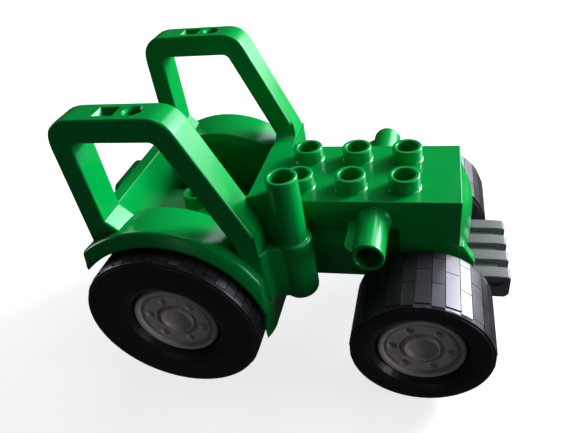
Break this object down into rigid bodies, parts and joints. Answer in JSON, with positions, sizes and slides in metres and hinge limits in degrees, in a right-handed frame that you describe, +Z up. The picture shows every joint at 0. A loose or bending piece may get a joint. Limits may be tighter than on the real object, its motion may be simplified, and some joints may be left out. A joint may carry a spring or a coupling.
{
  "type": "toy tractor",
  "caption": "Moulded toy farm tractor with studded hood, open cab with side roll bars, exhaust pipe, nose weights and wheels that roll on through axles.",
  "frame": {"origin": "on the ground, under the middle of the tractor's overall box", "axes": "+X towards the nose, +Y to the tractor's left, +Z up"},
  "size_m": [0.13, 0.0842, 0.0936],
  "materials": {
    "green_plastic": "gloss",
    "dark_grey_plastic": "satin",
    "black_rubber": "satin",
    "light_grey_plastic": "satin",
    "steel": "satin"
  },
  "bodies": {
    "tractor": {"body_shell": "green_plastic", "chassis": "dark_grey_plastic"},
    "front_wheels": {"front_axle": "steel", "front_right_hub": "light_grey_plastic", "front_left_hub": "light_grey_plastic", "front_right_tyre": "black_rubber", "front_left_tyre": "black_rubber"},
    "rear_wheels": {"rear_axle": "steel", "rear_right_hub": "light_grey_plastic", "rear_left_hub": "light_grey_plastic", "rear_right_tyre": "black_rubber", "rear_left_tyre": "black_rubber"}
  },
  "joints": [
    {"name": "front_roll", "type": "hinge", "parent": "tractor", "child": "front_wheels", "pos_m": [0.0383, 0, 0.0213], "axis": [0, 1, 0], "continuous": true},
    {"name": "rear_roll", "type": "hinge", "parent": "tractor", "child": "rear_wheels", "pos_m": [-0.0376, 0, 0.0274], "axis": [0, 1, 0], "continuous": true}
  ]
}
